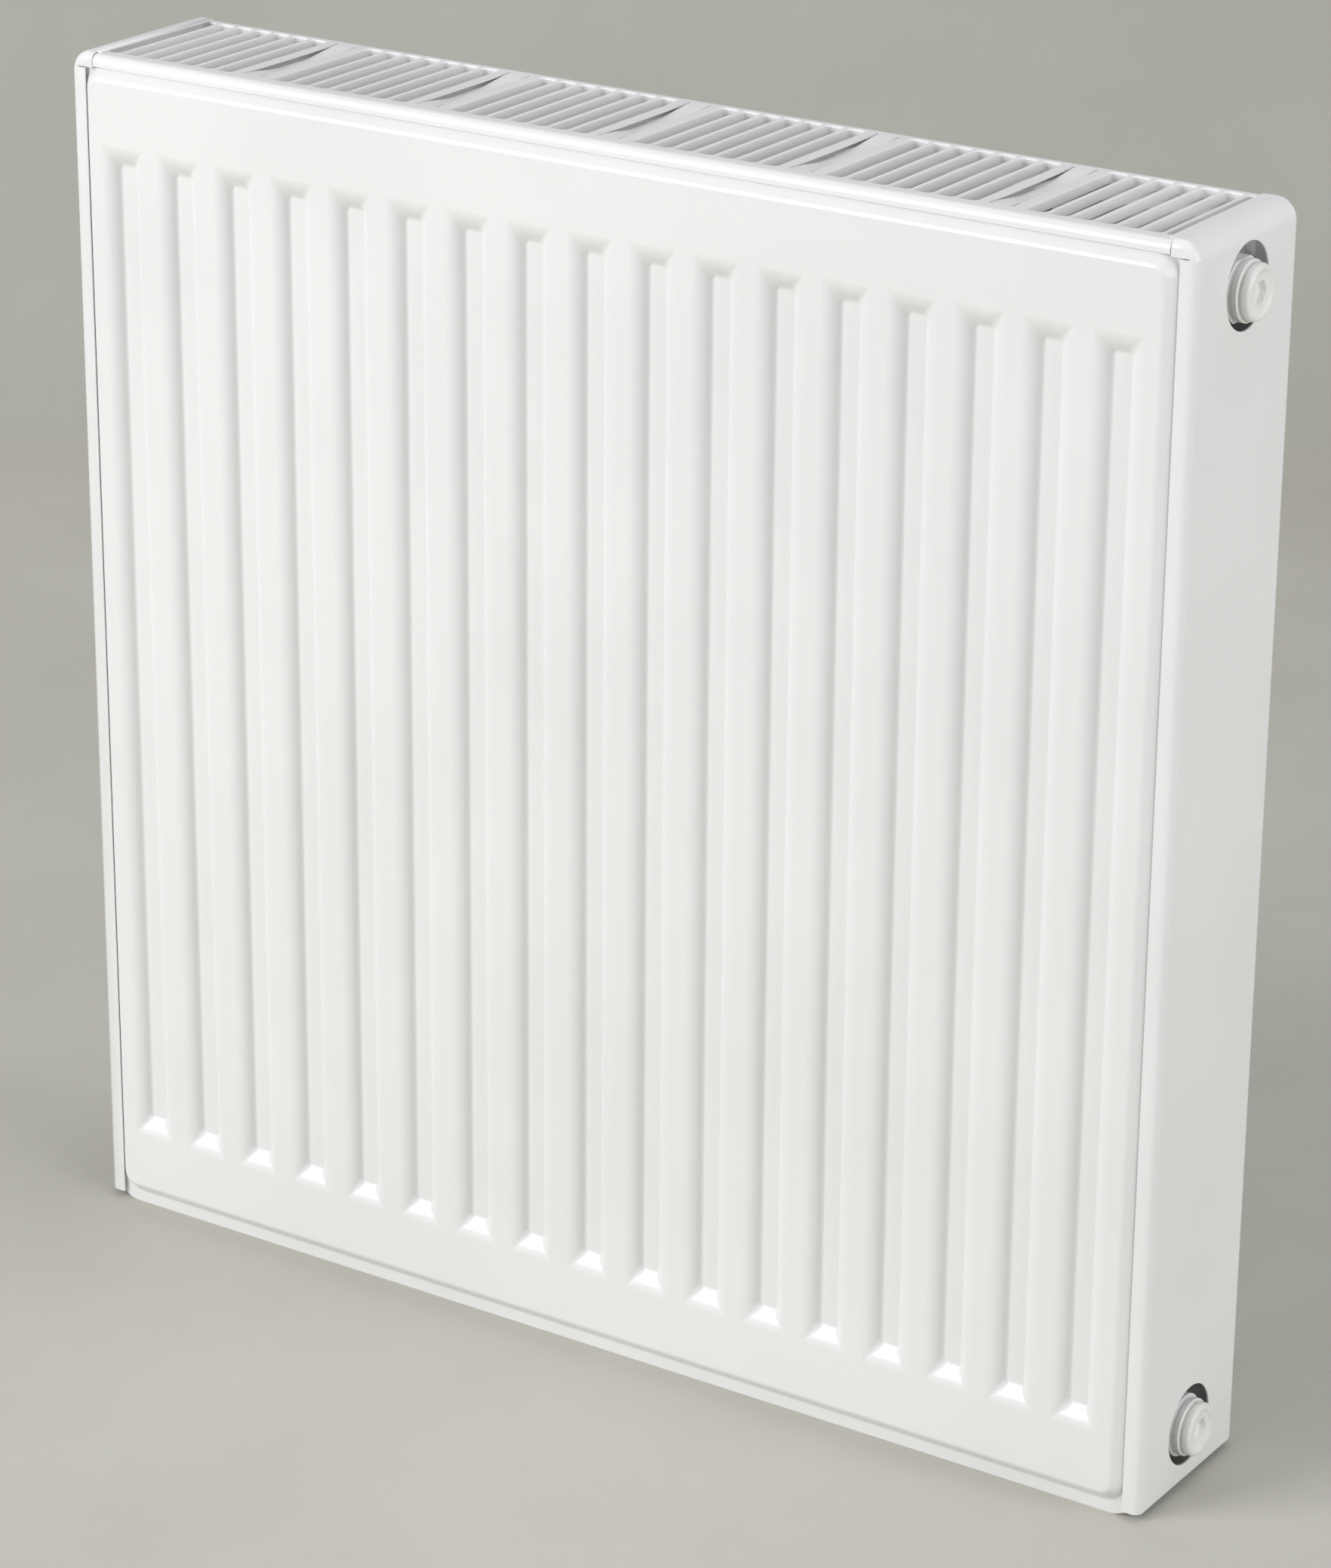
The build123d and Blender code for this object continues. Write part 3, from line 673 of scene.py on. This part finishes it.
class RADIATOR_OT_grille(bpy.types.Operator):
    """Fold the top grille, draw its slots down into blades and press its strips"""
    bl_idname = "radiator.grille"
    bl_label = "Top grille"

    def execute(self, context):
        size = context.scene.radiator_sizes
        # Groups of slots, with a closed stretch two pitches wide and a strip between one and the next
        slots_each, closed, groups_across = 7, 2, 6
        strips_across = groups_across - 1
        cells = groups_across * slots_each + strips_across * closed
        repeat = slots_each + closed
        pitch = 100 * MM / repeat
        group = repeat * pitch
        top = grille_high.z
        end_gap = 0.5 * MM
        half_length = end_x - size.ear_flange - end_gap
        margin = 1.5 * size.cover_sheet
        front, rear = mid_y - size.slot_front - margin, mid_y + size.slot_rear + margin
        first_slot = (0.5 - cells / 2) * pitch
        first_strip = first_slot + (slots_each + 0.5) * pitch
        strip_half = pitch / 2 + size.slit / 2
        bounds = [(boundary - cells / 2) * pitch for boundary in range(1, cells)]
        for strip in range(strips_across):
            x = first_strip + strip * group
            bounds += [x - strip_half, x - strip_half + size.slit, x + strip_half - size.slit, x + strip_half]
        slots = self.slot(size, first_slot, pitch, front, rear, top)
        self.repeat(slots, slots_each, pitch)
        self.repeat(slots, groups_across, group)
        strips = self.strip(size, first_strip, pitch, front, rear, top)
        self.repeat(strips, strips_across, group)
        piece = self.margins(size, half_length, front, rear, top, bounds)
        bpy.ops.object.select_all(action="DESELECT")
        for part in (slots, strips, piece):
            part.select_set(True)
        bpy.context.view_layer.objects.active = piece
        bpy.ops.object.join()
        bpy.ops.object.mode_set(mode="EDIT")
        for hand in (-1, 1):
            bpy.ops.mesh.select_all(action="SELECT")
            cut((hand * half_length, 0, 0), (1, 0, 0))
        bpy.ops.mesh.select_all(action="SELECT")
        bpy.ops.mesh.remove_doubles(threshold=0.01 * MM)
        bpy.ops.mesh.normals_make_consistent(inside=False)
        if pick("FACE", lambda c, n: c.z > top - 0.05 * MM and n.z < -0.9):
            bpy.ops.mesh.select_all(action="SELECT")
            bpy.ops.mesh.flip_normals()
        close_piece(piece)
        modify(piece, "SOLIDIFY", thickness=size.cover_sheet, offset=-1.0)
        close_piece(piece, 40)
        even_normals(piece)
        hand_over(piece, "frame", "top_grille", "grille_enamel")
        return {"FINISHED"}

    def repeat(self, piece, count, step):
        """Copies of a piece along the radiator."""
        modify(piece, "ARRAY", count=count, use_relative_offset=False, use_constant_offset=True,
               constant_offset_displace=(step, 0, 0))

    def margins(self, size, half_length, front, rear, top, bounds):
        """The folded front and back of the channel, with a point at every boundary between cells."""
        piece = start_piece("top_grille_sheet")
        low = grille_low.z
        middle = (0, mid_y, (low + top) / 2)
        bpy.ops.mesh.primitive_cube_add(size=1, location=middle)
        stretch((2 * half_length, 2 * half_depth, top - low), middle)
        need(pick("FACE", lambda c, n: n.z < -0.9 or abs(n.x) > 0.9), "open side")
        bpy.ops.mesh.delete(type="FACE")
        need(pick("EDGE", lambda a, b: min(a.z, b.z) > top - MM and abs(a.y - b.y) < MM), "fold")
        bpy.ops.mesh.bevel(offset=size.fold_radius, segments=5, affect="EDGES")
        for y in (front, rear):
            need(pick("FACE", lambda c, n: n.z > 0.99), "top")
            cut((0, y, top), (0, 1, 0))
        need(pick("FACE", lambda c, n: n.z > 0.99 and front < c.y < rear), "slot field")
        bpy.ops.mesh.delete(type="FACE")
        for x in bounds:
            bpy.ops.mesh.select_all(action="SELECT")
            cut((x, 0, 0), (1, 0, 0))
        bpy.ops.object.mode_set(mode="OBJECT")
        return piece

    def slot(self, size, x, pitch, front, rear, top):
        """One slot: a rim at the sheet, a rolled edge, and a blade drawn down all round."""
        roll = size.cover_sheet
        middle = (x, mid_y + (size.slot_rear - size.slot_front) / 2, top)
        half_wide = size.slot_width / 2 + roll
        half_long = (size.slot_front + size.slot_rear) / 2 + roll
        piece = start_piece("grille_slots")
        bpy.ops.mesh.primitive_plane_add(size=1, location=middle)
        stretch((2 * half_wide, 2 * half_long, 1), middle)
        bpy.ops.mesh.bevel(offset=size.slot_corner + roll, segments=3, affect="VERTICES")
        bpy.ops.mesh.delete(type="ONLY_FACE")
        # The flat between slots is drawn out from the slot's edge, and its corners pulled out square
        wide, long = pitch / 2 / half_wide, (rear - front) / 2 / half_long
        lift = 1 * MM
        bpy.ops.mesh.select_mode(type="EDGE")
        bpy.ops.mesh.select_all(action="SELECT")
        bpy.ops.mesh.extrude_edges_move(TRANSFORM_OT_translate={"value": (0, 0, lift)})
        stretch((wide, long, 1), middle)
        reach = (size.slot_corner + roll) * max(wide, long) + 0.02 * MM
        for hand in (-1, 1):
            for end in (front, rear):
                corner = (x + hand * pitch / 2, end, top)
                need(pick("VERT", lambda p: p.z > top + lift / 2 and abs(p.x - corner[0]) < reach
                          and abs(p.y - corner[1]) < reach), "slot corner")
                stretch((0, 0, 1), corner)
        need(pick("VERT", lambda p: p.z > top + lift / 2), "flat")
        shift((0, 0, -lift))
        near = 0.02 * MM
        need(pick("EDGE", lambda a, b: max(abs(a.x - x), abs(b.x - x)) < half_wide + near
                  and max(abs(a.y - middle[1]), abs(b.y - middle[1])) < half_long + near), "slot edge")
        steps = [(roll * sin(turn), roll * (1 - cos(turn))) for turn in (pi / 6, pi / 3, pi / 2)]
        steps.append((roll, size.blade))
        inset, depth = 0.0, 0.0
        for next_inset, next_depth in steps:
            bpy.ops.mesh.extrude_edges_move(TRANSFORM_OT_translate={"value": (0, 0, depth - next_depth)})
            stretch(((half_wide - next_inset) / (half_wide - inset),
                     (half_long - next_inset) / (half_long - inset), 1), middle)
            inset, depth = next_inset, next_depth
        bpy.ops.object.mode_set(mode="OBJECT")
        return piece

    def strip(self, size, x, pitch, front, rear, top):
        """One closed stretch of the field, slit down both sides with the strip between pressed in."""
        piece = start_piece("grille_strips")
        middle = (x, (front + rear) / 2, top)
        bpy.ops.mesh.primitive_plane_add(size=1, location=middle)
        stretch((2 * pitch, rear - front, 1), middle)
        opening = pitch / 2 + size.slit / 2
        strip = opening - size.slit
        ends = (mid_y - size.slot_front, mid_y + size.slot_rear)
        for edge in (x - opening, x - strip, x, x + strip, x + opening):
            bpy.ops.mesh.select_all(action="SELECT")
            cut((edge, 0, 0), (1, 0, 0))
        fractions = (0.2, 0.4, 0.6, 0.8, 1.0)
        for y in (*ends, *(ends[0] + size.strip_slope * part for part in fractions),
                  *(ends[1] - size.strip_slope * part for part in fractions)):
            bpy.ops.mesh.select_all(action="SELECT")
            cut((0, y, 0), (0, 1, 0))
        need(pick("FACE", lambda c, n: strip < abs(c.x - x) < opening and ends[0] < c.y < ends[1]), "slit")
        bpy.ops.mesh.delete(type="FACE")
        near = 0.02 * MM
        for part in fractions:
            # A smooth ramp that starts and ends level
            drop = size.strip_drop * part * part * (3 - 2 * part)
            low, high = ends[0] + size.strip_slope * part, ends[1] - size.strip_slope * part
            need(pick("VERT", lambda p: abs(p.x - x) < strip + near
                      and min(abs(p.y - low), abs(p.y - high)) < near), "strip row")
            shift((0, 0, -drop))
        bpy.ops.object.mode_set(mode="OBJECT")
        return piece


class RADIATOR_OT_cad_finishes(bpy.types.Operator):
    """Give each CAD node that stays in view the finish of its slot"""
    bl_idname = "radiator.cad_finishes"
    bl_label = "Finishes"

    def execute(self, context):
        slots = {part["node"]: part["material_slot"] for part in frame["record"]["subparts"]}
        for name, node in frame["nodes"].items():
            if node.hide_render:
                continue
            material = finish_for(slots[name])
            for index in range(max(1, len(node.data.materials))):
                if index < len(node.data.materials):
                    node.data.materials[index] = material
                else:
                    node.data.materials.append(material)
        return {"FINISHED"}


class RADIATOR_OT_studio(bpy.types.Operator):
    """Lay the floor and backdrop, hang the lights and set the camera"""
    bl_idname = "radiator.studio"
    bl_label = "Studio"

    def execute(self, context):
        scene = context.scene
        studio = scene.radiator_studio
        material = pale_floor("pale_floor", studio.floor_deep, studio.floor_light)
        # The backdrop stands square to the camera, behind the radiator
        back_dir = Vector((-sin(studio.azimuth), cos(studio.azimuth), 0))
        along = Vector((cos(studio.azimuth), sin(studio.azimuth), 0))
        wall_through, wall_length = Vector((-0.36, 1.43, 0)), 8
        floor = start_piece("floor")
        bpy.ops.mesh.primitive_plane_add(size=12, location=(0, 0, 0))
        bpy.ops.object.mode_set(mode="OBJECT")
        floor.data.materials.append(material)
        wall = start_piece("backdrop")
        middle = wall_through - along * along.dot(wall_through) + Vector((0, 0, 1.5))
        bpy.ops.mesh.primitive_plane_add(size=wall_length, location=middle,
                                         rotation=(pi / 2, 0, studio.azimuth))
        # A long low wall: high enough for the view from the front, low enough to look over from behind
        cut((0, 0, 0), (0, 0, 1), clear_inner=True)
        bpy.ops.mesh.select_all(action="SELECT")
        cut((0, 0, studio.wall_height), (0, 0, 1), clear_outer=True)
        bpy.ops.object.mode_set(mode="OBJECT")
        wall.data.materials.append(pale_floor("pale_backdrop", "B0AFA8", "BCBBB5"))
        # Place and side in metres, power in watts
        for name, place, side, power in (("key", (-2.1, -3.1, 1.9), 2.2, 112),
                                         ("fill", (3.0, -0.4, 1.5), 2.2, 44),
                                         ("top", (0.2, 0.4, 2.6), 1.8, 9)):
            self.lamp(name, place, side, power)
        world = bpy.data.worlds.new("studio_air")
        world.use_nodes = True
        air = world.node_tree.nodes["Background"]
        air.inputs["Color"].default_value = linear("F4F6F8")
        air.inputs["Strength"].default_value = 0.4
        scene.world = world
        scene.view_settings.view_transform = "Standard"
        lens = bpy.data.cameras.new("camera")
        lens.lens = studio.lens
        lens.sensor_width = 36
        lens.dof.use_dof = False
        camera = bpy.data.objects.new("camera", lens)
        scene.collection.objects.link(camera)
        ahead = Vector((back_dir.x * cos(studio.pitch), back_dir.y * cos(studio.pitch), -sin(studio.pitch)))
        up = along.cross(ahead)
        right = along * cos(studio.roll) + up * sin(studio.roll)
        up = up * cos(studio.roll) - along * sin(studio.roll)
        camera.matrix_world = Matrix((
            (right.x, up.x, -ahead.x, studio.place[0]),
            (right.y, up.y, -ahead.y, studio.place[1]),
            (right.z, up.z, -ahead.z, studio.place[2]),
            (0, 0, 0, 1),
        ))
        scene.camera = camera
        return {"FINISHED"}

    def lamp(self, name, place, size, power):
        """A square softbox that faces the radiator."""
        light = bpy.data.lights.new(name, "AREA")
        light.size = size
        light.energy = power
        lamp = bpy.data.objects.new(name, light)
        lamp.location = place
        aim = Vector((0, mid_y, MIDDLE_Z)) - Vector(place)
        lamp.rotation_mode = "QUATERNION"
        lamp.rotation_quaternion = aim.to_track_quat("-Z", "Y")
        bpy.context.scene.collection.objects.link(lamp)


class RADIATOR_PT_panel(bpy.types.Panel):
    """Sizes, colours and the steps that make the radiator"""
    bl_idname = "RADIATOR_PT_panel"
    bl_label = "Radiator"
    bl_space_type = "VIEW_3D"
    bl_region_type = "UI"
    bl_category = "Radiator"

    def draw(self, context):
        layout = self.layout
        for name in groups:
            group = getattr(context.scene, name)
            for key in group.__annotations__:
                layout.prop(group, key)
        for step in steps:
            layout.operator(step.bl_idname)


steps = (RADIATOR_OT_studio, RADIATOR_OT_water_panels, RADIATOR_OT_side_panels, RADIATOR_OT_grille,
         RADIATOR_OT_plugs, RADIATOR_OT_cad_finishes)
groups = {
    "radiator_sizes": RadiatorSizes,
    "radiator_colours": RadiatorColours,
    "radiator_studio": StudioSettings,
}


def register():
    for cls in (*groups.values(), *steps, RADIATOR_PT_panel):
        bpy.utils.register_class(cls)
    for key, group in groups.items():
        setattr(bpy.types.Scene, key, bpy.props.PointerProperty(type=group))


def unregister():
    for key in groups:
        delattr(bpy.types.Scene, key)
    for cls in (RADIATOR_PT_panel, *reversed(steps), *reversed(list(groups.values()))):
        bpy.utils.unregister_class(cls)


def main():
    register()
    bpy.ops.radiator.studio()
    bpy.ops.radiator.water_panels()
    bpy.ops.radiator.side_panels()
    bpy.ops.radiator.grille()
    bpy.ops.radiator.plugs()
    bpy.ops.radiator.cad_finishes()


if __name__ == "__main__":
    main()
